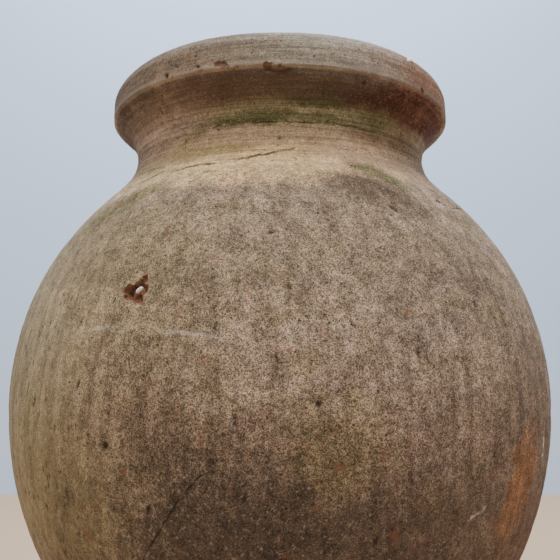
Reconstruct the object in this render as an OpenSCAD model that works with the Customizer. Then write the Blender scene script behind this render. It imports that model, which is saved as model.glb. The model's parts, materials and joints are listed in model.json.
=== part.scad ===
// Large oil jar, built up in belts of clay coils on a base slab, then finished
// with a neck and a heavy rim that is folded outward. Every piece of clay that
// the potter joins on is a solid of its own. The jar's axis is Z, its base
// stands on z = 0, and all sizes are in millimetres.

/* [Jar] */
// Height of the jar, from base to rim
jar_h = 720; // [700:1:740]
// Greatest outer radius, at the belly
belly_r = 267.5; // [255:0.5:285]
// Height of the widest part above the base
belly_z = 405; // [390:1:420]
// Height of the ellipse quarter that shapes the lower wall
lower_drop = 300; // [280:1:320]
// Outer radius of the foot
foot_r = 100; // [90:1:120]

/* [Wall] */
// Thickness of the wall, square to its surface
wall_t = 17; // [14:0.5:20]
// Thickness of the base slab
slab_t = 22; // [18:1:28]
// Height by which each joint climbs from the outside to the inside
joint_climb = 10; // [0:1:14]
// Size of the coil pressed into the corner of base and wall
coil_w = 26; // [18:1:34]
// Bevel on the foot's lower edge
foot_bevel = 4; // [2:0.5:8]

/* [Neck and rim] */
// Height of the rim's top above the narrowest part of the neck
rim_rise = 75; // [74:1:80]
// Outer radius of the neck at its narrowest
neck_r = 155.5; // [150:0.5:160]
// Radius of the hollow curve from neck to shoulder
neck_cove_r = 50; // [40:1:60]
// Radius of the hollow curve from neck up to the rim
under_cove_r = 34; // [32:1:35]
// Outer radius of the rim
rim_r = 180.5; // [176:0.5:186]
// Height from the rim's lower lip to its top
rim_face_h = 41; // [36:1:42]
// Radius of the rim's lower lip
lip_r = 5; // [4:0.5:6]
// Radius of the curve over the rim's outer top edge
rim_top_r = 23; // [18:1:30]
// Radius of the mouth
mouth_r = 134; // [128:0.5:138]
// Radius of the curve over the mouth's edge
mouth_edge_r = 10; // [6:1:14]
// Length of the straight throat below that curve
throat_len = 65; // [54:1:80]

/* [Lime nodules] */
// Width of the flake scar round the nodule in the wall
scar_w = 16; // [12:1:24]
// Depth of that scar
scar_d = 3; // [2:0.5:5]
// Radius of the nodule in the wall
nodule_r = 3; // [2:0.5:4]
// Radius of the nodule in the rim
rim_nodule_r = 2.5; // [2:0.5:4]

/* [Hidden] */
$fn = 96;

// Clay that has weathered, clay that is protected inside, and burnt lime
clay = "#8f8069";
inner_clay = "#a8674a";
lime = "#e8e6e0";

// The lower wall is straight from the foot up to where it touches the ellipse.
foot_dir = [foot_r / belly_r, belly_z / lower_drop];
touch_a = atan2(foot_dir.y, foot_dir.x) - acos(1 / norm(foot_dir));
touch_z = belly_z - lower_drop * sin(touch_a);
taper = (belly_r * cos(touch_a) - foot_r) / touch_z;

// The shoulder is a second ellipse quarter. It is left where it slopes at 45
// degrees, for a straight stretch that turns up into the neck in a hollow curve.
neck_z = jar_h - rim_rise;
cove_r0 = neck_r + neck_cove_r * (1 - cos(45));
cove_z0 = neck_z - neck_cove_r * sin(45);
shoulder_rise = sqrt(pow(cove_r0 + cove_z0 - belly_z, 2) - pow(belly_r, 2));
leave_a = atan2(shoulder_rise, belly_r);
leave_z = belly_z + shoulder_rise * sin(leave_a);
leave_r = belly_r * cos(leave_a);

// Outer radius of the wall at a height, from the foot to the neck
function outer_r(z) =
    z < touch_z ? foot_r + taper * z :
    z < belly_z ? belly_r * sqrt(1 - pow((belly_z - z) / lower_drop, 2)) :
    z < leave_z ? belly_r * sqrt(1 - pow((z - belly_z) / shoulder_rise, 2)) :
    z < cove_z0 ? leave_r - (z - leave_z) :
    neck_r + neck_cove_r - sqrt(pow(neck_cove_r, 2) - pow(neck_z - z, 2));

// How fast that radius grows with height
function slope(z) =
    z < touch_z ? taper :
    z < belly_z ? pow(belly_r / lower_drop, 2) * (belly_z - z) / outer_r(z) :
    z < leave_z ? -pow(belly_r / shoulder_rise, 2) * (z - belly_z) / outer_r(z) :
    z < cove_z0 ? -1 :
    -(neck_z - z) / sqrt(pow(neck_cove_r, 2) - pow(neck_z - z, 2));

// A point of the outer line, and the point straight behind it on the inner line
function outer_pt(z) = [outer_r(z), z];
function inner_pt(z) = outer_pt(z) - wall_t * [1, -slope(z)] / norm([1, -slope(z)]);

// Heights of the joints on the outside, and the points on each side of a belt
joint_z = [slab_t, belly_z - 290, belly_z - 200, belly_z - 105, belly_z - 15,
           belly_z + 70, neck_z - 90, neck_z - 37];
side_n = 11;

function heights(z0, z1) = [for (i = [0:side_n]) z0 + (z1 - z0) * i / side_n];

// Where the wall's inside meets the top of the slab
wall_toe = [outer_r(slab_t) - wall_t * norm([1, taper]), slab_t];

// Points of an arc round a centre
function arc(centre, r, a0, a1, n) =
    [for (i = [0:n]) let (a = a0 + (a1 - a0) * i / n) centre + r * [cos(a), sin(a)]];

module base_slab() {
    color(clay) rotate_extrude()
        polygon([[0, 0], [outer_r(0) - foot_bevel, 0],
                 outer_pt(foot_bevel), outer_pt(slab_t), [0, slab_t]]);
}

// A soft coil pressed into the inner corner, with a hollow face
module corner_coil() {
    up = wall_toe + coil_w * [taper, 1] / norm([taper, 1]);
    toe = wall_toe - [coil_w, 0];
    bend = wall_toe + coil_w / 5 * [-1, 1];
    hollow = [for (t = [0.25:0.25:0.75])
              pow(1 - t, 2) * up + 2 * t * (1 - t) * bend + pow(t, 2) * toe];
    color(inner_clay) rotate_extrude() polygon(concat([wall_toe, up], hollow, [toe]));
}

// One belt of the wall, from joint i to the next. Each joint climbs inward, and
// only the lowest belt stands level, on the slab.
module belt(i) {
    outer = [for (z = heights(joint_z[i], joint_z[i + 1])) outer_pt(z)];
    low = i == 0 ? slab_t : joint_z[i] + joint_climb;
    inner = [for (z = heights(low, joint_z[i + 1] + joint_climb)) inner_pt(z)];
    start = i == 0 ? wall_toe : inner[0];
    down = [for (k = [side_n:-1:1]) inner[k]];
    color(clay) rotate_extrude() polygon(concat(outer, down, [start]));
}

module foot_belt() { belt(0); }
module lower_belt() { belt(1); }
module flare_belt() { belt(2); }
module belly_belt() { belt(3); }
module upper_belly_belt() { belt(4); }
module shoulder_cap() { belt(6); }

// The curve under the rim turns until it is just inside the lower lip, and the
// neck's joint with the rim is part of the way along it.
lip_inset = 4.8;
under_turn = acos(1 - (rim_r - lip_inset - neck_r) / under_cove_r);
joint_turn = 30;
under_centre = [neck_r + under_cove_r, neck_z];
rim_joint_z = neck_z + under_cove_r * sin(joint_turn);

module neck_collar() {
    foot_z = joint_z[7];
    cove = [for (z = heights(foot_z, neck_z)) outer_pt(z)];
    under = arc(under_centre, under_cove_r, 175, 180 - joint_turn, 4);
    throat_z = jar_h - mouth_edge_r - throat_len;
    color(clay) rotate_extrude()
        polygon(concat(cove, under, [[mouth_r, rim_joint_z], [mouth_r, throat_z],
                                     inner_pt(foot_z + joint_climb)]));
}

module rim_ring() {
    lip_z = jar_h - rim_face_h + lip_r;
    under = arc(under_centre, under_cove_r, 180 - joint_turn, 180 - under_turn, 5);
    lip = arc([rim_r - lip_r, lip_z], lip_r, -70, 0, 4);
    roll = arc([rim_r - rim_top_r, jar_h - rim_top_r], rim_top_r, 0, 90, 9);
    edge = arc([mouth_r + mouth_edge_r, jar_h - mouth_edge_r], mouth_edge_r, 90, 180, 6);
    color(clay) difference() {
        rotate_extrude() polygon(concat(under, lip, roll, edge, [[mouth_r, rim_joint_z]]));
        rim_nodule();
    }
}

// Places of the nodules: how far round the jar, and how far up the wall or over
// the curve of the rim
scar_turn = -113;
scar_z = belly_z + 92;
rim_nodule_turn = -48;
rim_nodule_lift = 35;

// Moves its children onto the wall beside the scar, with X pointing outward
module at_scar(out) {
    rotate([0, 0, scar_turn]) translate([outer_r(scar_z), 0, scar_z])
        rotate([0, atan(slope(scar_z)), 0]) translate([out, 0, 0]) children();
}

module wall_nodule() {
    at_scar(-scar_d - nodule_r / 3) sphere(nodule_r);
}

module rim_nodule() {
    reach = rim_top_r - rim_nodule_r / 2;
    rotate([0, 0, rim_nodule_turn])
        translate([rim_r - rim_top_r + reach * cos(rim_nodule_lift), 0,
                   jar_h - rim_top_r + reach * sin(rim_nodule_lift)])
            sphere(rim_nodule_r);
}

// The flake that the swelling lime threw off left a shallow round hollow.
module shoulder_belt() {
    flake_r = (pow(scar_w / 2, 2) + pow(scar_d, 2)) / (2 * scar_d);
    color(clay) difference() {
        belt(5);
        at_scar(flake_r - scar_d) sphere(flake_r);
        wall_nodule();
    }
}

module lime_nodules() {
    color(lime) {
        wall_nodule();
        rim_nodule();
    }
}

base_slab();
corner_coil();
foot_belt();
lower_belt();
flare_belt();
belly_belt();
upper_belly_belt();
shoulder_belt();
shoulder_cap();
neck_collar();
rim_ring();
lime_nodules();
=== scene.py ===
# %% [markdown]
# # A weathered oil jar
# A jar this big is built in belts: the potter pinches a ring of clay coils onto
# the last belt, lets it stiffen, and goes on upward. The neck and the heavy rim
# come last. Years outside then leave lichen, algae and soot on the clay. The
# script follows the same order: belts, then the marks of the hand and of age in
# the mesh, then the clay's finish, then the light.

# %% Load the fixed frame
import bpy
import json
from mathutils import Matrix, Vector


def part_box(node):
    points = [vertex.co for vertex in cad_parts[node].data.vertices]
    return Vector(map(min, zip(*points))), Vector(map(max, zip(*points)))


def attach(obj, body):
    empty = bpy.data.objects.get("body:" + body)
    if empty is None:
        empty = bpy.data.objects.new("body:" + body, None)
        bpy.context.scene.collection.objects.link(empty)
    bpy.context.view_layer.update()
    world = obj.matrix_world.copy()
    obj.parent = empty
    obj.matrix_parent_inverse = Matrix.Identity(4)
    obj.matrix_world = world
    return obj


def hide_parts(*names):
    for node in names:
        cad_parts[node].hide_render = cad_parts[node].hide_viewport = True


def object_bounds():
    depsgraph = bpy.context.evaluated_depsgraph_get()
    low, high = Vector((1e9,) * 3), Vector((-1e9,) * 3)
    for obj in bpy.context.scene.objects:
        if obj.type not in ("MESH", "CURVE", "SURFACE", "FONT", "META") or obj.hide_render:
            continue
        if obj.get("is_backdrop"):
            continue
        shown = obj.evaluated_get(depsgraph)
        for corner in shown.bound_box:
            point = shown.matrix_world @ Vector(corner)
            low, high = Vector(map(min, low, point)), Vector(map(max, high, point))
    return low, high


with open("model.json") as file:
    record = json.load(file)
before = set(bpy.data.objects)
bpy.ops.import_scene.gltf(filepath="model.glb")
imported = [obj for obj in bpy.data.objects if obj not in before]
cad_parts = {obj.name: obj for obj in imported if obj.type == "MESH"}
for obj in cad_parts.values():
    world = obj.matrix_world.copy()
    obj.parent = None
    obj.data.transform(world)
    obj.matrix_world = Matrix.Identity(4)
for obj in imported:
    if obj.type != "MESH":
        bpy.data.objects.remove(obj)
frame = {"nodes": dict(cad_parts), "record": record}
cad_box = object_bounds()
print("CAD box", [[round(x, 4) for x in corner] for corner in cad_box])

# %% Modules and a few sizes read from the frame
import itertools
import json
import math

import bmesh
import bpy
import numpy as np
from mathutils import Matrix, Vector

MM = 0.001
BELTS = ["foot_belt", "lower_belt", "flare_belt", "belly_belt", "upper_belly_belt",
         "shoulder_belt", "shoulder_cap"]
rim_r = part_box("rim_ring")[1].x
jar_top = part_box("rim_ring")[1].z
belly_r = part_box("belly_belt")[1].x
mouth_r = next(mount["dims"]["r_mm"] * MM for mount in frame["record"]["mounts"]
               if mount["name"] == "mouth")
print("rim radius", round(rim_r, 4), "mouth radius", round(mouth_r, 4))
print("belly radius", round(belly_r, 4), "height", round(jar_top, 4))

# %% [markdown]
# ## Camera
# The jar is seen from close by, from a little above half its height, with the
# camera tilted slightly upward, so the rim's underside shows and the foot is cut
# off. A 36 mm lens on a 36 mm square frame gives the wide, near view.

# %% Make the camera
CAMERA_Z = 0.470
CAMERA_AWAY = 0.619
CAMERA_TILT = 4.8

camera = bpy.data.objects.new("camera", bpy.data.cameras.new("camera"))
bpy.context.scene.collection.objects.link(camera)
camera.data.sensor_width = 36
camera.data.lens = 36
camera.location = (0, -CAMERA_AWAY, CAMERA_Z)
camera.rotation_euler = (math.radians(90 + CAMERA_TILT), 0, 0)
bpy.context.scene.camera = camera
print("camera", tuple(round(x, 3) for x in camera.location), "tilted up", CAMERA_TILT)

# %% [markdown]
# ## Sections
# Each belt could be traced by hand, but its size is already in the frame. So its
# half-section is cut out of a merged copy of its CAD node with two bisections,
# and walked round point by point. Between sharp corners the points lie on smooth
# curves, so a cubic through them gives as fine a line as the surface needs.

# %% Cut a half-section out of a node
ON_PLANE = 1e-6


def section(name):
    """The (r, z) points round a node's half-section, and whether they close."""
    bm = bmesh.new()
    bm.from_mesh(frame["nodes"][name].data)
    bmesh.ops.remove_doubles(bm, verts=bm.verts, dist=ON_PLANE)
    for normal, clear in (((1, 0, 0), True), ((0, 1, 0), False)):
        bmesh.ops.bisect_plane(bm, geom=bm.verts[:] + bm.edges[:] + bm.faces[:],
                               dist=ON_PLANE, plane_co=(0, 0, 0), plane_no=normal,
                               clear_inner=clear)
    links = {}
    for edge in bm.edges:
        if all(abs(v.co.y) < ON_PLANE for v in edge.verts):
            for near, far in itertools.permutations(edge.verts):
                links.setdefault(near, []).append(far)
    ends = [v for v in links if len(links[v]) == 1]
    start = min(ends or links, key=lambda v: (round(v.co.z, 6), v.co.x))
    path = [start, links[start][0]]
    while True:
        onward = [v for v in links[path[-1]] if v is not path[-2]]
        if not onward or onward[0] is start:
            break
        path.append(onward[0])
    points = np.array([(v.co.x, v.co.z) for v in path])
    bm.free()
    return points, not ends


# %% Draw a finer line through its points
CORNER = math.radians(28)


def split_at_corners(points, closed):
    """The runs of points between one sharp corner and the next."""
    count = len(points)
    back = points - np.roll(points, 1, axis=0)
    ahead = np.roll(points, -1, axis=0) - points
    turn = np.abs(np.arctan2(back[:, 0] * ahead[:, 1] - back[:, 1] * ahead[:, 0],
                             (back * ahead).sum(axis=1)))
    if closed:
        corners = [i for i in range(count) if turn[i] > CORNER]
        ends = corners[1:] + [corners[0] + count]
    else:
        corners = [0] + [i for i in range(1, count - 1) if turn[i] > CORNER]
        ends = corners[1:] + [count - 1]
    return [points[np.arange(a, b + 1) % count] for a, b in zip(corners, ends)]


def cubic_through(run, step):
    """Points about a step apart on a smooth curve through a run, without its last."""
    along = np.r_[0, np.cumsum(np.linalg.norm(np.diff(run, axis=0), axis=1))]
    count = max(1, round(along[-1] / step))
    at = np.linspace(0, along[-1], count + 1)[:-1]
    if len(run) < 3:
        return np.column_stack([np.interp(at, along, run[:, k]) for k in (0, 1)])
    slope = np.gradient(run, along, axis=0, edge_order=2)
    i = np.clip(np.searchsorted(along, at, side="right") - 1, 0, len(run) - 2)
    gap = (along[i + 1] - along[i])[:, None]
    t = (at - along[i])[:, None] / gap
    return (run[i] * (1 + 2 * t) * (1 - t) ** 2 + run[i + 1] * t ** 2 * (3 - 2 * t)
            + gap * (slope[i] * t * (1 - t) ** 2 - slope[i + 1] * t ** 2 * (1 - t)))


def length(run):
    """How long a run of points is."""
    return np.linalg.norm(np.diff(run, axis=0), axis=1).sum()


def inner_and_outer(runs):
    """The two longest runs of a belt's section: its inner face and its outer face."""
    return sorted(sorted(runs, key=length)[-2:], key=lambda run: run[:, 0].mean())


def refined(name, outer_step, inner_step):
    """A node's section with close points on its outer side and wider ones elsewhere."""
    points, closed = section(name)
    runs = split_at_corners(points, closed)
    outer = inner_and_outer(runs)[1]
    line = []
    for run in runs:
        line.extend(cubic_through(run, outer_step if run is outer else inner_step))
    if not closed:
        line.append(points[-1])
    return np.array(line), closed


# %% Measure the wall's outer face
# heights and radii up the outside, from the foot to the top of the collar
outer_runs = [inner_and_outer(split_at_corners(*section(name)))[1]
              for name in BELTS + ["neck_collar"]]
outer_face = np.array(sorted({(round(z, 6), round(r, 6)) for run in outer_runs for r, z in run}))
rim_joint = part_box("neck_collar")[1].z
print("outer face from", outer_face[0] / MM, "to", outer_face[-1] / MM)

# %% [markdown]
# ## Turning the belts
# A spin of the section makes each ring, with close steps round the belly, so that
# the scraper's fine upright marks can be real relief. Neighbours share their edge,
# and an edge where the surface turns sharply is kept sharp, so that the shading of
# one belt runs on into the next.

# %% Spin a section into a ring
SPARSE = 1
# steps round the jar, and millimetres between points outside and inside
DENSITY = {"base_slab": (320, 4, 4), "corner_coil": (320, 3, 3), "foot_belt": (640, 2.4, 5),
           "lower_belt": (1152, 2.4, 6), "flare_belt": (1152, 1.9, 6),
           "belly_belt": (1152, 1.6, 6), "upper_belly_belt": (1152, 1.6, 6),
           "shoulder_belt": (1152, 1.6, 6), "shoulder_cap": (960, 1.2, 6),
           "neck_collar": (768, 0.8, 4), "rim_ring": (704, 1.2, 2)}


def spun(name):
    """A closed ring or disc: a sixteenth is spun, then copied round and merged."""
    steps, outer_step, inner_step = DENSITY[name]
    line, closed = refined(name, outer_step * MM * SPARSE, inner_step * MM * SPARSE)
    bm = bmesh.new()
    verts = [bm.verts.new((r, 0, z)) for r, z in line]
    pairs = list(zip(verts, verts[1:] + verts[:1] if closed else verts[1:]))
    edges = [bm.edges.new(pair) for pair in pairs]
    turn = math.pi / 8
    bmesh.ops.spin(bm, geom=verts + edges, cent=(0, 0, 0), axis=(0, 0, 1), dvec=(0, 0, 0),
                   angle=turn, steps=steps // SPARSE // 16, use_merge=False)
    while turn < 2 * math.pi - ON_PLANE:
        copy = bmesh.ops.duplicate(bm, geom=bm.verts[:] + bm.edges[:] + bm.faces[:])["geom"]
        bmesh.ops.rotate(bm, verts=[part for part in copy if isinstance(part, bmesh.types.BMVert)],
                         cent=(0, 0, 0), matrix=Matrix.Rotation(turn, 3, "Z"))
        turn *= 2
    bmesh.ops.remove_doubles(bm, verts=bm.verts, dist=10 * ON_PLANE)
    bmesh.ops.recalc_face_normals(bm, faces=bm.faces)
    for edge in bm.edges:
        edge.smooth = edge.calc_face_angle(0) < CORNER
    for face in bm.faces:
        face.smooth = True
    return bm


# %% [markdown]
# ## Marks of the hand and of age
# A potter's jar is never a true body of revolution. The marks could be modifiers
# with textures, but then a mark would stop at the joint of two belts. So one field
# is worked out from the place of each point alone, and moves the points of all the
# belts along the wall's outward direction. The noise is made here, so that every
# mark keeps its place each time.

# %% Steady noise
HASH = np.array([73856093, 19349663, 83492791])


def noise(places, cell, seed):
    """Smooth noise from -1 to 1. Its lumps are cell millimetres across, in x, y, z."""
    scaled = places / (np.broadcast_to(cell, 3) * MM)
    low = np.floor(scaled).astype(np.int64)
    part = scaled - low
    part = part * part * (3 - 2 * part)
    total = np.zeros(len(places))
    for corner in itertools.product((0, 1), repeat=3):
        key = ((low + corner) * HASH).sum(axis=1) + seed * 1013904223
        key = (key ^ (key >> 13)) * 1274126177
        value = ((key ^ (key >> 16)) & 0xFFFF) / 32767.5 - 1
        total += value * np.prod(np.where(corner, part, 1 - part), axis=1)
    return total


def rise(value, low, high):
    """0 below low, 1 above high, and a smooth step between them."""
    t = np.clip((value - low) / (high - low), 0, 1)
    return t * t * (3 - 2 * t)


# %% Where a point is on the jar
RIM_CORE_DEPTH = 26 * MM  # the middle of the rim's section lies this far below its top
MOUTH_EDGE = (7 * MM, 16 * MM)  # from the mouth's edge outward: no weather, full weather
SKIN = (2 * MM, 12 * MM)  # from the wall's face inward: full weather, no weather


class Places:
    """Each point's turn, height, outward direction and how far out in the wall it is."""

    def __init__(self, co):
        self.co = co
        self.r = np.hypot(co[:, 0], co[:, 1])
        self.z = co[:, 2]
        self.turn = np.degrees(np.arctan2(co[:, 1], co[:, 0]))
        round_about = co[:, :2] / np.maximum(self.r, ON_PLANE)[:, None]
        self.unrolled = np.column_stack([round_about * belly_r, self.z])
        face_r = np.interp(self.z, outer_face[:, 0], outer_face[:, 1])
        slope = np.interp(self.z, outer_face[:, 0],
                          np.gradient(outer_face[:, 1], outer_face[:, 0]))
        wall = np.column_stack([np.ones_like(slope), -np.clip(slope, -2, 2)])
        rim_core = np.array([(rim_r + mouth_r) / 2, jar_top - RIM_CORE_DEPTH])
        rim = np.column_stack([self.r, self.z]) - rim_core
        rim /= np.maximum(np.linalg.norm(rim, axis=1), MM)[:, None]
        wall /= np.linalg.norm(wall, axis=1)[:, None]
        in_rim = rise(self.z, rim_joint, rim_joint + 16 * MM)[:, None]
        flat = wall * (1 - in_rim) + rim * in_rim
        self.out = np.column_stack([round_about * flat[:, :1], flat[:, 1]])
        in_wall = 1 - rise(face_r - self.r, *SKIN)
        on_rim = rise(self.r - mouth_r, *MOUTH_EDGE)
        above = self.z > rim_joint + ON_PLANE
        self.outer = np.where(above, on_rim, in_wall)
        self.ragged_x = noise(co, 4.5, 61) + 0.6 * noise(co, 1.8, 62)
        self.ragged_z = noise(co, 4.5, 63) + 0.6 * noise(co, 1.8, 64)
        self.patchy = noise(co, 14, 65)


# %% Chips, pits and lines
# turn and height of the middle, width, height and depth in mm, tilt clockwise in
# degrees, and how much fresh clay it lays bare
CHIPS = [(-90.5, 679, 26, 5, 1.8, 0, 0.6), (-93.2, 681.5, 7, 7, 2.6, 10, 0.6),
         (-105.5, 685, 14, 6, 1.2, 20, 0.7), (-48, 709, 11, 6, 0.8, 30, 0.5),
         (-44, 683, 9, 5, 1.8, 15, 0.5), (-113.7, 495.5, 20, 14, 3.0, -8, 1.0),
         (-113.0, 502, 6, 12, 2.6, 35, 1.0), (-115.1, 492.5, 8, 7, 2.4, 20, 1.0),
         (-115.0, 497, 12, 8, 2.4, -15, 1.0), (-113.0, 489.5, 12, 9, 2.2, 30, 1.0)]
PITS = [(-123, 686, 4, 5, 1.6, 0), (-112.4, 687, 3, 3.5, 1.2, 0), (-134, 414, 3, 11, 1.5, 20),
        (-122, 430, 3, 9, 1.2, 15), (-116, 391, 6, 6, 1.8, 0), (-109, 352, 3, 9, 1.2, 25),
        (-66, 561, 4, 9, 1.8, -35), (-55.8, 487, 4, 6, 1.6, -20), (-91.5, 537, 6, 2.6, 1.3, -10),
        (-84.8, 422, 5, 5, 1.5, 0), (-88.5, 497, 3, 6, 1.2, -30), (-65.6, 676, 5, 3, 1.2, 0)]
# width in mm, strength, and the turns and heights along each line
CRACKS = [(1.9, 1.0, [(-140, 590), (-131, 598), (-126, 606)]),
          (1.6, 1.0, [(-122, 603), (-113, 606), (-108, 605)]),
          (1.9, 1.0, [(-105, 606), (-98, 610), (-93, 613), (-86, 619)]),
          (1.3, 0.8, [(-110, 596), (-106, 597)]), (1.2, 0.7, [(-134, 583), (-130, 586)]),
          (1.0, 0.7, [(-47, 614), (-46, 604), (-47, 594), (-44, 587)]),
          (0.9, 0.8, [(-49.5, 577), (-46, 575), (-41, 574), (-34, 577)]),
          (1.1, 0.8, [(-131.3, 521), (-130.9, 508), (-130.2, 490)]),
          (1.1, 0.6, [(-112, 643.5), (-95, 644.5), (-80, 644), (-66, 645), (-56, 643)]),
          (0.9, 0.6, [(-100.8, 378), (-103.4, 364), (-109.6, 325), (-113.4, 300)]),
          (0.8, 0.4, [(-99.6, 371), (-102.2, 356), (-108.2, 316)]),
          (1.0, 0.7, [(60, 606), (72, 609), (90, 607)]), (1.0, 0.7, [(130, 611), (147, 608)])]
SMUDGES = [(7, 0.55, [(-118, 474), (-118.4, 444), (-121, 403), (-123, 365), (-127, 330)]),
           (1.8, 0.9, [(-127.3, 511), (-127.2, 495), (-127, 477)]),
           (5, 0.4, [(-131, 450), (-133, 400), (-136, 350)]),
           (3, 0.5, [(-142, 470), (-145, 400), (-147, 330)]),
           (2, 0.5, [(-148, 440), (-151, 380), (-152, 320)]),
           (2, 0.4, [(-138, 505), (-140, 440), (-142, 400)]),
           (5, 0.5, [(-110.5, 430), (-110, 405), (-112, 380)]),
           (5, 0.5, [(-50, 505), (-47.5, 450), (-48, 400)]), (6, 0.4, [(-62, 480), (-60, 420)]),
           (3.4, 0.9, [(-101.5, 381), (-104, 366), (-110.4, 325), (-114, 300)]),
           (2.0, 0.8, [(-100.5, 372), (-103, 358), (-109, 318)]),
           (2.0, 0.8, [(-99, 366), (-101.6, 350), (-107, 314)]),
           (4, 0.5, [(-43, 470), (-41, 420), (-40, 380)]),
           (3, 0.5, [(-36, 500), (-34, 450), (-33, 400)]),
           (5, 0.5, [(-60, 360), (-55, 345), (-51, 331)])]
CRUSTS = [(2.4, 0.35, [(-121, 468), (-115, 471.5), (-109.6, 470.5), (-107, 466),
                       (-103.9, 467), (-98, 463)]),
          (4.2, 1.0, [(-36.5, 388), (-36.8, 376), (-37.1, 364)]),
          (1.2, 0.7, [(-60.3, 339), (-58, 343), (-55.5, 348)])]


def scattered(count, seed, low, high, widths, depths, stretch):
    """Seeded marks all round the jar, between two heights in mm."""
    dice = np.random.default_rng(seed)
    return [(dice.uniform(-180, 180), dice.uniform(low, high), w, w * dice.uniform(*stretch),
             dice.uniform(*depths), dice.uniform(-25, 25))
            for w in dice.uniform(*widths, count)]


def scattered_lines(count, seed):
    """Seeded upright streaks round the sides and back."""
    dice = np.random.default_rng(seed)
    lines = []
    for turn, top in zip(dice.uniform(-30, 215, count), dice.uniform(330, 585, count)):
        drop = dice.uniform(30, 130)
        bend = dice.uniform(-3, 3, 2)
        path = [(turn, top), (turn + bend[0], top - drop / 2), (turn + bend.sum(), top - drop)]
        lines.append((dice.uniform(1.5, 7), dice.uniform(0.25, 0.6), path))
    return lines


ALL_PITS = (PITS + scattered(460, 3, 20, 600, (1.4, 3.0), (0.3, 1.1), (1.4, 3.6))
            + scattered(90, 4, 600, 712, (1.8, 3.2), (0.4, 0.9), (0.6, 1.2)))
NICKS = ([(*nick, 0.4) for nick in scattered(30, 5, 677, 683, (4, 14), (0.5, 1.4), (0.25, 0.5))]
         + [(*nick, 0.5) for nick in scattered(14, 6, 706, 719, (4, 12), (0.4, 1.0), (0.4, 0.8))])
SMUDGES += scattered_lines(26, 7)
CRUSTS += scattered_lines(7, 8)
print(len(CHIPS + NICKS), "chips,", len(ALL_PITS), "pits and", len(CRACKS), "cracks")


def flat_offset(at, turn, height):
    """Millimetres to the right of and above a place on the jar."""
    right = (np.mod(at.turn - turn + 180, 360) - 180) * np.pi / 180 * at.r
    return right / MM, at.z / MM - height


def hollow(at, mark, ragged=0):
    """0 at a mark's edge, rising to 1 in its middle. Ragged breaks the edge, in mm."""
    turn, height, wide, tall, _, tilt = mark[:6]
    right, up = flat_offset(at, turn, height)
    right = right + ragged * at.ragged_x
    up = up + ragged * at.ragged_z
    lean = math.radians(tilt)
    a = (right * math.cos(lean) - up * math.sin(lean)) / (wide / 2)
    b = (up * math.cos(lean) + right * math.sin(lean)) / (tall / 2)
    return 1 - np.hypot(a, b)


def off_line(at, line, ragged=0):
    """Each point's distance in mm from a line of (turn, height) points, which wanders."""
    best = np.full(len(at.z), 1000.0)
    for start, end in zip(line, line[1:]):
        right, up = flat_offset(at, *start)
        right = right + ragged * at.ragged_x
        up = up + ragged * at.ragged_z
        run = (end[0] - start[0]) * np.pi / 180 * at.r / MM
        climb = end[1] - start[1]
        t = np.clip((right * run + up * climb) / (run ** 2 + climb ** 2), 0, 1)
        best = np.minimum(best, np.hypot(right - t * run, up - t * climb))
    return best


def near_line(at, line, reach):
    """Which points are within reach mm of a line's span of heights."""
    heights = [height for _, height in line]
    return (at.z / MM > min(heights) - reach) & (at.z / MM < max(heights) + reach)


# %% The field of relief
JOINTS = [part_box(name)[0].z for name in BELTS[1:]]


def drawn(at, lines):
    """The share of a set of lines at each point, with broken, wandering edges."""
    share = np.zeros(len(at.z))
    for width, strength, line in lines:
        if near_line(at, line, 3 * width).any():
            away = off_line(at, line, 0.8) + 0.3 * width * at.ragged_x
            worn = strength * rise(at.patchy, -0.8, 0.2)
            share = np.maximum(share, worn * (1 - rise(away, 0.25 * width, 0.75 * width)))
    return share


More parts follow.
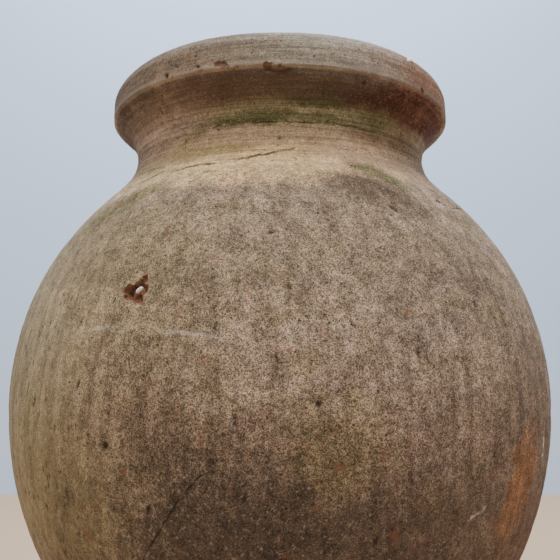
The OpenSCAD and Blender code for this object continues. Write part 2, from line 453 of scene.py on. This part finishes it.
def relief(at):
    """How far each point moves outward, in mm, and its shares of each kind of wear, with dirt and
    painted shade in the pits and cracks.
    """
    on_neck = rise(at.z, 575 * MM, 605 * MM)
    # the slow unevenness of a pinched wall, kept inside the CAD face, then small lumps
    move = -0.9 + 0.4 * on_neck + 0.65 * noise(at.co, 95, 1) + 0.35 * noise(at.co, 37, 2)
    move += 0.12 * noise(at.co, 9, 3) + 0.10 * noise(at.co, 3.4, 4)
    # the scraper's upright marks on the body, the potter's rings on the neck and rim
    scrape = (0.20 * noise(at.unrolled, (5, 5, 120), 5)
              + 0.12 * noise(at.unrolled, (2.6, 2.6, 50), 6))
    rings = 0.22 * noise(at.co, (300, 300, 2.6), 7) + 0.34 * noise(at.co, (420, 420, 8), 8)
    move += scrape * (1 - on_neck) + rings * on_neck
    # a faint hollow where each belt was luted to the next
    for z in JOINTS:
        wander = z + 4 * MM * noise(at.co * (1, 1, 0), 120, 9)
        move -= 0.28 * np.exp(-((at.z - wander) / (7 * MM)) ** 2) * (1 - on_neck)
    # the collar's feathered foot stands a little proud above the ragged joint
    foot = 608 * MM + 7 * MM * noise(at.co * (1, 1, 0), 60, 10)
    thins_out = 1 - rise(at.z, foot + 4 * MM, foot + 20 * MM)
    move += 0.5 * rise(at.z, foot, foot + 1.5 * MM) * thins_out
    # a shallow groove under the lip, where the potter's tool cut the rim free
    edge = 682.4 * MM + 0.4 * MM * noise(at.co, 30, 13)
    groove = (1 - rise(at.z, edge - 1.2 * MM, edge)) * rise(at.z, 666 * MM, 678 * MM)
    move -= 1.7 * groove
    # chips, pits and cracks cut in, and what they show: fresh clay, and dirt with painted shade that
    # deepens with the pit
    fresh = np.zeros(len(at.z))
    dirt_and_shade = np.zeros(len(at.z))
    for mark in CHIPS + NICKS:
        depth = hollow(at, mark, 1.3)
        move -= mark[4] * rise(depth, 0, 0.4)
        fresh = np.maximum(fresh, mark[6] * rise(depth, 0.0, 0.14))
    for mark in ALL_PITS:
        near = np.abs(at.z / MM - mark[1]) < mark[2] + mark[3]
        if near.any():
            depth = hollow(at, mark, 0.5)
            move -= mark[4] * rise(depth, -0.1, 0.6)
            # painted shade: the deeper a pit, the darker it is painted, as well as dirt
            dirt_and_shade = np.maximum(dirt_and_shade, min(1, 0.3 + 0.6 * mark[4]) * rise(depth, -0.1, 0.4))
    cracked = drawn(at, CRACKS)
    move -= 1.5 * cracked
    # inside the jar, only the marks of fingers and smoothing
    inside = 0.55 * noise(at.co, (90, 90, 10), 21) + 0.35 * noise(at.co, 30, 22) - 0.4
    move = np.minimum(move, 0) * at.outer + inside * (1 - at.outer)
    wear = {"fresh": fresh, "dirt_and_shade": np.maximum(dirt_and_shade, 0.9 * cracked), "smudge": drawn(at, SMUDGES),
            "crust": drawn(at, CRUSTS)}
    return move, {label: share * at.outer for label, share in wear.items()}


# %% Close points where a mark is finer than the mesh
def tighten(bm, name):
    """Cuts up the faces round the flake scar and the ragged joint lines."""
    co = np.array([v.co for v in bm.verts])
    at = Places(co)
    near = np.zeros(len(co), bool)
    for mark in CHIPS:
        near |= hollow(at, mark) > -0.6
    for width, _, line in CRACKS:
        near |= off_line(at, line) < 2 * width
    near &= at.outer > 0.99
    bm.verts.index_update()
    edges = [e for e in bm.edges if all(near[v.index] for v in e.verts) and e.smooth]
    if edges:
        bmesh.ops.subdivide_edges(bm, edges=edges, cuts=2, use_grid_fill=True)
        print(name, "tightened at", len(edges), "edges")


def sculpted(bm, piece_name):
    """Moves a piece's points by the relief, and keeps its wear and painted shade as attributes."""
    mesh = bpy.data.meshes.new(piece_name)
    bm.to_mesh(mesh)
    bm.free()
    co = np.empty(len(mesh.vertices) * 3)
    mesh.vertices.foreach_get("co", co)
    co = co.reshape(-1, 3)
    at = Places(co)
    move, wear = relief(at)
    steady = rise(at.z, 2 * MM, 12 * MM)
    co = co + at.out * (move * steady * MM)[:, None]
    co[:, 2] = np.clip(co[:, 2], 0, jar_top)
    mesh.vertices.foreach_set("co", co.ravel())
    for label, values in {**wear, "inside": 1 - at.outer}.items():
        layer = mesh.attributes.new(label, "FLOAT", "POINT")
        layer.data.foreach_set("value", values.astype(np.float32))
    mesh.update()
    piece = bpy.data.objects.new(piece_name, mesh)
    bpy.context.scene.collection.objects.link(piece)
    return piece


# %% Make every belt
clay_pieces = []
for name in DENSITY:
    ring = spun(name)
    tighten(ring, name)
    piece = sculpted(ring, name + "_fired")
    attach(piece, "root")
    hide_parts(name)
    clay_pieces.append(piece)
    triangles = sum(len(p.vertices) - 2 for p in piece.data.polygons)
    print(piece.name, len(piece.data.vertices), "points,", triangles, "triangles")

# %% [markdown]
# ## Lime nodules
# Grains of limestone in the clay burn to lime in the kiln, and later swell and throw
# off a flake. Each is a rough little lump, so a sphere of triangles is pushed about
# with the same noise, at the places that the frame gives.

# %% Make the nodules
LONGER, NARROWER = 0.35, 0.4  # how much each lump is stretched one way and squeezed the other
RIM_LUMP = 1.3  # how much larger the one in the rim is than its ball
LUMP_LEFT = 2.4 * MM  # how far each lies to the left of its ball


def nodule_centres():
    """Middle and radius of each ball in the lime node, the one in the rim first."""
    co = np.array([v.co for v in frame["nodes"]["lime_nodules"].data.vertices])
    groups = [co[co[:, 2] > rim_joint], co[co[:, 2] <= rim_joint]]
    return [(g.min(axis=0) / 2 + g.max(axis=0) / 2, np.ptp(g[:, 2]) / 2) for g in groups]


balls = nodule_centres()
bm = bmesh.new()
for centre, radius in balls:
    lump = bmesh.ops.create_icosphere(bm, subdivisions=4, radius=radius)["verts"]
    bmesh.ops.translate(bm, verts=lump, vec=Vector(centre))
for face in bm.faces:
    face.smooth = True
co = np.array([v.co for v in bm.verts])
swell = 0.16 * noise(co, 2.4, 31) + 0.07 * noise(co, 0.9, 32) - 0.15
for v, share, place in zip(bm.verts, swell, co):
    centre = min((ball[0] for ball in balls), key=lambda c: np.linalg.norm(c - place))
    right = np.array([-centre[1], centre[0], 0]) / np.hypot(*centre[:2])
    long_way = 0.75 * right + np.array([0, 0, 0.66])
    short_way = -0.66 * right + np.array([0, 0, 0.75])
    off = (place - centre) * (1 + share)
    off = (off + LONGER * (off @ long_way) * long_way
           - NARROWER * (off @ short_way) * short_way)
    if centre[2] > rim_joint:
        off = off * RIM_LUMP
    v.co = Vector(centre + off - LUMP_LEFT * right)
mesh = bpy.data.meshes.new("lime_lumps")
bm.to_mesh(mesh)
bm.free()
lime_lumps = bpy.data.objects.new("lime_lumps", mesh)
bpy.context.scene.collection.objects.link(lime_lumps)
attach(lime_lumps, "root")
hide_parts("lime_nodules")
print("lime lumps", len(mesh.vertices), "points")

# %% [markdown]
# ## The clay's finish
# Old terracotta that has stood outside is not the orange of a new pot. Its skin is
# a patchwork of grey-brown dust, cream salts, olive lichen and soot, all of it in
# grains a millimetre or two across. The finish could be painted as an image, but a
# web of noise patterns on Object coordinates has no seam and no end to its detail.
# Each stain has its own place on the jar, so it is a soft spot round a point there,
# with an edge broken up by noise.

# %% Colour and node helpers
def linear(code):
    """A hex colour as linear RGBA."""
    parts = [int(code[i:i + 2], 16) / 255 for i in (1, 3, 5)]
    return (*[c / 12.92 if c <= 0.04045 else ((c + 0.055) / 1.055) ** 2.4 for c in parts], 1)


def add(tree, kind, inputs=(), out=0, **settings):
    """Adds a node with its settings and its input values or links, and returns an output."""
    made = tree.nodes.new("ShaderNode" + kind)
    for key, value in settings.items():
        setattr(made, key, value)
    for key, value in dict(inputs).items():
        if isinstance(value, bpy.types.NodeSocket):
            tree.links.new(value, made.inputs[key])
        else:
            made.inputs[key].default_value = value
    return None if out is None else made.outputs[out]


def new_material(name):
    """A material and its node tree, with nothing in it yet."""
    material = bpy.data.materials.new(name)
    material.use_nodes = True
    material.node_tree.nodes.clear()
    return material, material.node_tree


# %% The stains, each at its place, some of them painted shade
# turn and height of the middle, half width and half height in mm, tilt in degrees,
# colour, strength, and how soft its edge is
CREAM = "#c9ab7e"
ALGAE = "#5a5937"
SOOT = "#4b3b2f"
STAINS = [
    # lichen and old soil over the left of the body
    (-152, 420, 120, 190, 0, "#94896b", 0.7, 0.9),
    (-128, 330, 70, 90, -20, "#8a7c57", 0.55, 0.9),
    (-118, 500, 60, 70, 0, "#928260", 0.55, 0.9),
    (-109, 425, 45, 60, 15, "#6f5f4c", 0.55, 0.9),
    (-108, 392, 30, 30, 0, "#5c4a3b", 0.4, 0.9),
    (-116, 528, 60, 36, 0, "#857752", 0.5, 0.9),
    (-121, 318, 55, 75, -15, "#6a5d44", 0.5, 0.9),
    (-46, 440, 40, 60, 0, "#6f6152", 0.4, 0.9),
    # the dark band from the right of the belly to the foot: partly stain, partly painted shade where
    # the wall faces down
    (-62, 300, 185, 92, -8, "#57473a", 0.75, 0.9),
    (-75, 205, 260, 110, 0, "#55463a", 0.8, 0.6),
    (-90, 346, 84, 60, 8, "#4d3f34", 0.82, 0.9),
    (-96, 312, 72, 62, 35, "#4f4338", 0.75, 0.3),
    (-53, 513, 30, 30, 0, "#6f5e50", 0.5, 0.9),
    (-69, 445, 45, 60, 0, "#75655a", 0.28, 0.9),
    (-47, 352, 20, 42, 24, "#93643f", 0.65, 0.5),
    (-41, 312, 30, 34, 10, "#705443", 0.5, 0.8),
    (-81, 398, 30, 26, 0, "#877752", 0.4, 0.9),
    # the cream band at the foot of the neck
    (-92, 630, 120, 12, 0, "#a38b6c", 0.7, 0.6),
    (-97, 603, 92, 23, 0, CREAM, 0.9, 0.45),
    (-130, 598, 60, 18, 0, "#bfa983", 0.65, 0.8),
    (-60, 612, 52, 20, 0, "#b99b7e", 0.75, 0.7),
    (60, 606, 150, 22, 0, CREAM, 0.6, 0.7),
    (150, 600, 100, 20, 0, "#bfa983", 0.6, 0.8),
    # under the rim: dirt where rain never washes, and in the dark ones painted shade under the
    # overhang
    (-92, 667, 95, 12, 0, "#78614f", 0.85, 0.5),
    (-42, 671, 95, 13, 0, "#4c1f0d", 0.93, 0.6),
    (-144, 665, 76, 20, 0, "#b9a18c", 0.9, 0.8),
    (60, 668, 150, 14, 0, "#5c483a", 0.8, 0.5),
    (150, 668, 120, 14, 0, "#63503f", 0.8, 0.5),
    (-50, 646, 50, 15, 0, "#6f5a3c", 0.7, 0.8),
    # algae where the wet stays
    (-84, 653, 84, 11, 0, "#908564", 0.85, 0.5),
    (-79, 662, 26, 4.5, 0, ALGAE, 0.9, 0.8),
    (-99, 648, 34, 5, -3, ALGAE, 0.9, 0.8),
    (-78, 648, 30, 3.5, 0, ALGAE, 0.8, 0.8),
    (-58, 655, 24, 8, 0, "#5e5a36", 0.7, 0.8),
    (-121, 634, 26, 5, -25, "#6b6540", 0.55, 0.8),
    (-132, 566, 50, 13, -30, "#68623c", 0.9, 0.7),
    (-120, 619, 60, 7, -4, "#857550", 0.7, 0.7),
    (-63, 595, 28, 8, 18, "#5f5d3a", 0.85, 0.7),
    (-98, 584, 20, 8, 0, "#c09a76", 0.5, 0.8),
    (95, 650, 70, 8, 0, ALGAE, 0.7, 0.8),
    (130, 566, 40, 14, 10, "#6f6a40", 0.6, 0.8),
    (-5, 640, 40, 8, 0, "#5e5a36", 0.6, 0.8),
    # soot and damp
    (-68, 575, 40, 16, 18, SOOT, 0.95, 0.7),
    (-95, 535, 190, 50, 0, "#786752", 0.6, 0.9),
    (20, 480, 130, 110, 0, "#6b5a4b", 0.45, 0.8),
    (110, 380, 160, 110, -15, "#5f4d3e", 0.5, 0.7),
    (170, 300, 120, 120, 0, "#57463a", 0.5, 0.7),
    # the rim: greyer in front, redder where the dust is worn off
    (-78, 700, 75, 24, 0, "#868275", 0.75, 0.8),
    (-62, 704, 40, 20, 0, "#9c8f82", 0.6, 0.8),
    (-33, 702, 70, 26, 0, "#8a6450", 0.75, 0.7),
    (-145, 702, 70, 26, 0, "#5c5146", 0.8, 0.8),
    (-111, 706, 55, 18, 0, "#655a4d", 0.65, 0.9),
    (80, 702, 90, 26, 0, "#866754", 0.55, 0.8),
]
print(len(STAINS), "stains")


def surface_point(turn, height):
    """The point on the jar's outside at a turn and a height in mm."""
    z = height * MM
    r = np.interp(z, outer_face[:, 0], outer_face[:, 1]) if z < rim_joint else rim_r
    angle = math.radians(turn)
    return (r * math.cos(angle), r * math.sin(angle), z)


# %% Scales and layers of colour
def cell(size):
    """Texture scale for lumps of a size in mm."""
    return 1 / (size * MM)


def painted(tree, colour, layers):
    """Lays colours over a first one. A layer's share is the product of what follows it."""
    for top, share, *more in layers:
        for factor in more:
            share = add(tree, "Math", {0: share, 1: factor}, operation="MULTIPLY")
        colour = add(tree, "Mix", {0: share, 6: colour, 7: top}, out=2, data_type="RGBA")
    return colour


# %% Patterns of the weathered clay
# Coil-built earthenware, scraped and wood-fired: it gives the eye a dry, gritty skin
# with no gloss. The real grit is 0.3 to 1 mm; much below 1 mm it would not show, so
# the finest grain is drawn at 0.95 mm.
clay, tree = new_material("weathered_terracotta")
place = add(tree, "TexCoord", out="Object")
across = add(tree, "SeparateXYZ", {0: place}, out="X")
height = add(tree, "SeparateXYZ", {0: place}, out="Z")
unrolled = add(tree, "Mapping", {"Vector": place, "Scale": (1, 1, 0.12)})
layered = add(tree, "Mapping", {"Vector": place, "Scale": (0.025, 0.025, 1)})

# where each noise is looked up, its lumps in mm, and its detail and roughness
NOISES = {"tone": (place, 70, 3, 0.55), "drift": (place, 26, 5, 0.65),
          "blotch": (place, 17, 5, 0.7), "mottle": (place, 5, 5, 0.75),
          "streak": (unrolled, 9, 3, 0.6), "ring": (layered, 2, 4, 0.8),
          "fine": (place, 0.95, 1, 0.9), "coarse": (place, 3.6, 4, 0.8),
          "patch": (place, 15, 5, 0.75), "crumb": (place, 2.4, 2, 0.6),
          "ochre": (place, 3.1, 3, 0.7), "rust": (place, 9, 3, 0.6),
          "lost": (place, 9, 2, 0.55), "flake": (place, 4, 3, 0.55), "kiln": (place, 24, 5, 0.7),
          "grit": (place, 1.6, 3, 0.8), "dent": (place, 6, 3, 0.6)}
seen = {name: add(tree, "TexNoise", {"Vector": where, "Scale": cell(size), "Detail": detail,
                                     "Roughness": roughness})
        for name, (where, size, detail, roughness) in NOISES.items()}
seen["pinhole"] = add(tree, "TexVoronoi", {"Vector": place, "Scale": cell(6.5)}, out="Distance")
slanted = add(tree, "Mapping", {"Vector": place, "Scale": (1, 1, 0.45)})
seen["slit"] = add(tree, "TexVoronoi", {"Vector": slanted, "Scale": cell(7)}, out="Distance")
seen["height"] = height
seen["across"] = across
# an uneven height, so that the edge of the soot and painted shade under the lip wanders by a
# millimetre or so
seen["uneven"] = add(tree, "Math", {0: seen["mottle"], 1: 1.5 * MM, 2: height},
                     operation="MULTIPLY_ADD")

# which pattern, its values at the two ends, and the shares they become
RANGES = {"tone": ("tone", 0.42, 0.60, 0, 1), "drift": ("drift", 0.50, 0.64, 0, 0.65),
          "blotch": ("blotch", 0.52, 0.64, 0, 0.55),
          "neck": ("height", 0.575, 0.62, 0, 1), "calm_neck": ("height", 0.575, 0.62, 1, 0.55),
          "calm_left": ("across", -0.09, -0.21, 1, 0.45),
          "calm_low": ("height", 0.40, 0.33, 1, 0.75),
          "streak": ("streak", 0.35, 0.65, 0.80, 1.17), "ring": ("ring", 0.36, 0.64, 0.70, 1.24),
          "fine": ("fine", 0.36, 0.64, 0.38, 1.60), "coarse": ("coarse", 0.37, 0.63, 0.70, 1.28),
          "patch": ("patch", 0.38, 0.62, 0.76, 1.20),
          "crumb": ("crumb", 0.60, 0.68, 0, 1), "ochre": ("ochre", 0.58, 0.68, 0, 1),
          "rust": ("rust", 0.63, 0.70, 0, 1), "hole": ("pinhole", 0.20, 0.10, 0, 1),
          "lost": ("lost", 0.47, 0.55, 0, 1), "slit": ("slit", 0.24, 0.10, 0, 1),
          "left": ("across", -0.08, -0.19, 0, 1),
          "lip_foot": ("height", 0.6812, 0.6825, 0, 1),
          "lip_head": ("height", 0.690, 0.685, 0, 1),
          "soot_and_shade_head": ("uneven", 0.6828, 0.6816, 0, 1),
          "soot_and_shade_foot": ("uneven", 0.650, 0.670, 0, 1),
          "soot_and_shade_side": ("across", 0.05, 0.12, 1, 0.2),
          "speck": ("mottle", 0.42, 0.56, 0, 1), "dull": ("mottle", 0.30, 0.70, 0.82, 0.98),
          "flake": ("flake", 0.40, 0.60, 0, 1), "kiln": ("kiln", 0.40, 0.60, 0, 1)}
share = {name: add(tree, "MapRange", {"Value": seen[source], "From Min": low, "From Max": high,
                                      "To Min": to_low, "To Max": to_high},
                   interpolation_type="SMOOTHSTEP")
         for name, (source, low, high, to_low, to_high) in RANGES.items()}
wear = {label: add(tree, "Attribute", out="Fac", attribute_name=label)
        for label in ("fresh", "dirt_and_shade", "smudge", "crust", "inside")}
print(len(seen), "patterns and", len(share), "shares")

# %% Ground tones and stains
# violet-grey dust, ochre and olive
colour = painted(tree, linear("#8e7a69"), [
    (linear("#9a8671"), share["tone"]), (linear("#867657"), share["drift"]),
    (linear("#876f63"), share["blotch"])])

# the stains' edges are broken by noise of 36 mm and finer, big ones by more
ragged = add(tree, "TexNoise", {"Vector": place, "Scale": cell(36), "Detail": 6.0, "Roughness": 0.68},
             out="Color")
ragged = add(tree, "VectorMath", {0: ragged, 1: (0.5, 0.5, 0.5)}, operation="SUBTRACT")
TALL_STAIN = 25
WIDE_REACH, NARROW_REACH = 70, 22
THINNEST = 60  # a stain reaches at least this far into the wall, so that it isn't cut short
warped = {}
for reach in (WIDE_REACH, NARROW_REACH):
    shift = add(tree, "VectorMath", {0: ragged, "Scale": reach * MM}, operation="SCALE")
    warped[reach] = add(tree, "VectorMath", {0: place, 1: shift}, operation="ADD")
for turn, high, wide, tall, tilt, code, strength, soft in STAINS:
    spot = add(tree, "Mapping", {"Vector": warped[WIDE_REACH if tall > TALL_STAIN else NARROW_REACH],
                                 "Location": surface_point(turn, high),
                                 "Rotation": (0, math.radians(tilt), math.radians(turn + 90)),
                                 "Scale": (wide * MM, max(THINNEST, wide) * MM, tall * MM)},
               vector_type="TEXTURE")
    away = add(tree, "VectorMath", {0: spot}, out="Value", operation="LENGTH")
    away = add(tree, "Math", {0: seen["mottle"], 1: -1.3, 2: away}, operation="MULTIPLY_ADD")
    near = add(tree, "MapRange", {"Value": away, "From Min": 0.5 + soft / 2,
                                  "From Max": 0.3 - soft / 2, "To Min": 0.0, "To Max": strength},
               interpolation_type="SMOOTHSTEP")
    colour = painted(tree, colour, [(linear(code), near)])
colour = painted(tree, colour, [(linear("#54463a"), wear["smudge"], 0.8)])
print(len(STAINS), "stains laid in", len(tree.nodes), "nodes")

# %% Grain, crumbs, soot, wear, and painted highlight and shade at the lip and in the pits
# grains and patches of grain, calmer on the neck, low down, and under the lichen on the left
grain = 1.0
for name in ("fine", "coarse", "patch"):
    grain = add(tree, "Math", {0: share[name], 1: grain}, operation="MULTIPLY")
calm = add(tree, "Math", {0: share["calm_neck"], 1: share["calm_left"]}, operation="MULTIPLY")
calm = add(tree, "Math", {0: calm, 1: share["calm_low"]}, operation="MULTIPLY")
grain = add(tree, "Mix", {0: calm, 2: 1.0, 3: grain}, data_type="FLOAT")
# the scraper's upright streaks on the body, the potter's rings on the neck and rim
streaks = add(tree, "Mix", {0: share["neck"], 2: share["streak"], 3: share["ring"]},
              data_type="FLOAT")
shade = add(tree, "Math", {0: grain, 1: streaks}, operation="MULTIPLY")
grey = add(tree, "CombineColor", {0: shade, 1: shade, 2: shade})
colour = add(tree, "Mix", {0: 1.0, 6: colour, 7: grey}, out=2, data_type="RGBA",
             blend_type="MULTIPLY")

broken = painted(tree, linear("#5c3b29"), [(linear("#724c36"), share["flake"])])
clean = painted(tree, linear("#8f6347"), [(linear("#a67a5c"), share["kiln"])])
clean = add(tree, "Mix", {0: 0.4, 6: clean, 7: grey}, out=2, data_type="RGBA",
            blend_type="MULTIPLY")
colour = painted(tree, colour, [
    # pale crumbs of salt, ochre crumbs, rust, and holes and slits where grit fell out
    (linear("#b8a98f"), share["crumb"], 0.28),
    (linear("#8a6f45"), share["ochre"], 0.2),
    (linear("#7d4a33"), share["rust"], 0.5),
    (linear("#33281f"), share["hole"], share["lost"], 0.75),
    (linear("#45392a"), share["slit"], share["left"], 0.75),
    # the lip's edge is paler, worn and with a painted highlight where it turns to the light, and its
    # underside is dark with soot and painted shade
    (linear("#9c9286"), share["lip_foot"], share["lip_head"], seen["mottle"], 0.7),
    # painted shade: the band under the lip is darkened as well as sooty, less on the right
    (linear("#45372d"), share["soot_and_shade_head"], share["soot_and_shade_foot"], share["soot_and_shade_side"], 0.56),
    # crusts, fresh clay in the chips, dirt and painted shade in the pits and cracks, and the clean
    # inside
    (linear("#d3c8b6"), wear["crust"], share["speck"]),
    (broken, wear["fresh"], 0.95),
    (linear("#2b221a"), wear["dirt_and_shade"], 0.85),
    (clean, wear["inside"])])
print("colour laid in", len(tree.nodes), "nodes")

# %% The clay's fine relief and shader
sunk = add(tree, "Math", {0: share["hole"], 1: -0.6, 2: seen["grit"]}, operation="MULTIPLY_ADD")
fine = add(tree, "Bump", {"Height": sunk, "Distance": 0.6 * MM, "Strength": calm})
fine = add(tree, "Bump", {"Height": seen["dent"], "Distance": 0.8 * MM, "Strength": 0.5,
                          "Normal": fine})
shader = add(tree, "BsdfPrincipled", {"Base Color": colour, "Roughness": share["dull"], "IOR": 1.5,
                                      "Specular IOR Level": 0.25, "Normal": fine})
add(tree, "OutputMaterial", {"Surface": shader}, out=None)
for piece in clay_pieces:
    piece.data.materials.append(clay)
print(clay.name, len(tree.nodes), "nodes")

# %% [markdown]
# ## The clean clay and the lime
# The coil in the corner never saw the weather, so it keeps the fired clay's own
# orange brown, dry and a little speckled. Burnt lime is a chalky, matt white that
# soaks up a little of the clay's colour. They could share the big web of patterns,
# but each needs only one or two, so a short table makes both.

# %% Unweathered terracotta and quicklime
# for each: its base, its noises as (mm, detail, low, high, colour over the base),
# its grit's size and height in mm, and its roughness
PLAIN = {"unweathered_terracotta": ("#96664a", [(20, 5, 0.40, 0.60, "#ab7d5f"),
                                                (2, 2, 0.60, 0.78, "#6f4a36")], 2.0, 0.5, 0.92),
         "quicklime": ("#faf6ef", [(1.6, 3, 0.52, 0.80, "#bfae98")], 0.8, 0.2, 0.95)}
plain = {}
for name, (base, noises, grit_size, grit_depth, roughness) in PLAIN.items():
    plain[name], tree = new_material(name)
    place = add(tree, "TexCoord", out="Object")
    colour = linear(base)
    for size, detail, low, high, code in noises:
        speck = add(tree, "TexNoise", {"Vector": place, "Scale": cell(size), "Detail": detail})
        near = add(tree, "MapRange", {"Value": speck, "From Min": low, "From Max": high},
                   interpolation_type="SMOOTHSTEP")
        colour = painted(tree, colour, [(linear(code), near)])
    grit = add(tree, "TexNoise", {"Vector": place, "Scale": cell(grit_size), "Detail": 3.0})
    grit = add(tree, "Bump", {"Height": grit, "Distance": grit_depth * MM, "Strength": 0.6})
    shader = add(tree, "BsdfPrincipled", {"Base Color": colour, "Roughness": roughness, "IOR": 1.5,
                                          "Normal": grit})
    add(tree, "OutputMaterial", {"Surface": shader}, out=None)
coil = bpy.data.objects["corner_coil_fired"]
coil.data.materials.clear()
coil.data.materials.append(plain["unweathered_terracotta"])
lime_lumps.data.materials.append(plain["quicklime"])
print("finishes", [clay.name, *plain])

# %% [markdown]
# ## Floor, backdrop and light
# The jar stands on a plain pale floor in front of a plain pale wall. A wide soft
# box high in front lights the rim's face and leaves its underside dark, and a dim
# even sky fills the shadows.

# %% Floor and wall
def sheet(name, code, size, where, turned):
    """A plain square of the set."""
    bm = bmesh.new()
    bmesh.ops.create_grid(bm, x_segments=1, y_segments=1, size=size)
    mesh = bpy.data.meshes.new(name)
    bm.to_mesh(mesh)
    bm.free()
    obj = bpy.data.objects.new(name, mesh)
    obj.location = where
    obj.rotation_euler = turned
    bpy.context.scene.collection.objects.link(obj)
    material, tree = new_material(name + "_paint")
    shader = add(tree, "BsdfPrincipled", {"Base Color": linear(code), "Roughness": 0.9})
    add(tree, "OutputMaterial", {"Surface": shader}, out=None)
    mesh.materials.append(material)
    obj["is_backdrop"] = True


sheet("floor", "#cfb192", 4, (0, 0, 0), (0, 0, 0))
sheet("backdrop", "#c8e0fb", 4, (0, 1.0, 0), (math.radians(90), 0, 0))
print("floor and backdrop laid")

# %% Lights
def soft_box(name, where, aim, size, watts, code):
    """A square area light, aimed at a point."""
    data = bpy.data.lights.new(name, "AREA")
    data.shape = "SQUARE"
    data.size = size
    data.energy = watts
    data.color = linear(code)[:3]
    lamp = bpy.data.objects.new(name, data)
    lamp.location = where
    lamp.rotation_euler = (Vector(aim) - Vector(where)).to_track_quat("-Z", "Y").to_euler()
    bpy.context.scene.collection.objects.link(lamp)


soft_box("window", (-0.35, -1.3, 2.6), (0, 0, 0.45), 1.6, 55, "#fff6ec")
soft_box("fill", (1.8, -1.2, 1.2), (0, 0, 0.4), 1.2, 6, "#eef3ff")
soft_box("wall_wash", (0, 0.1, 2.6), (0, 1.0, 0.7), 1.6, 66, "#f1f6ff")
world = bpy.data.worlds.new("even_sky")
world.use_nodes = True
sky = world.node_tree.nodes["Background"]
sky.inputs["Color"].default_value = linear("#e6edf5")
sky.inputs["Strength"].default_value = 0.45
bpy.context.scene.world = world

# %% Measure and finish
size = {"cad": [list(corner) for corner in cad_box],
        "visual": [list(corner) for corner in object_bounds()]}
print("size", size)
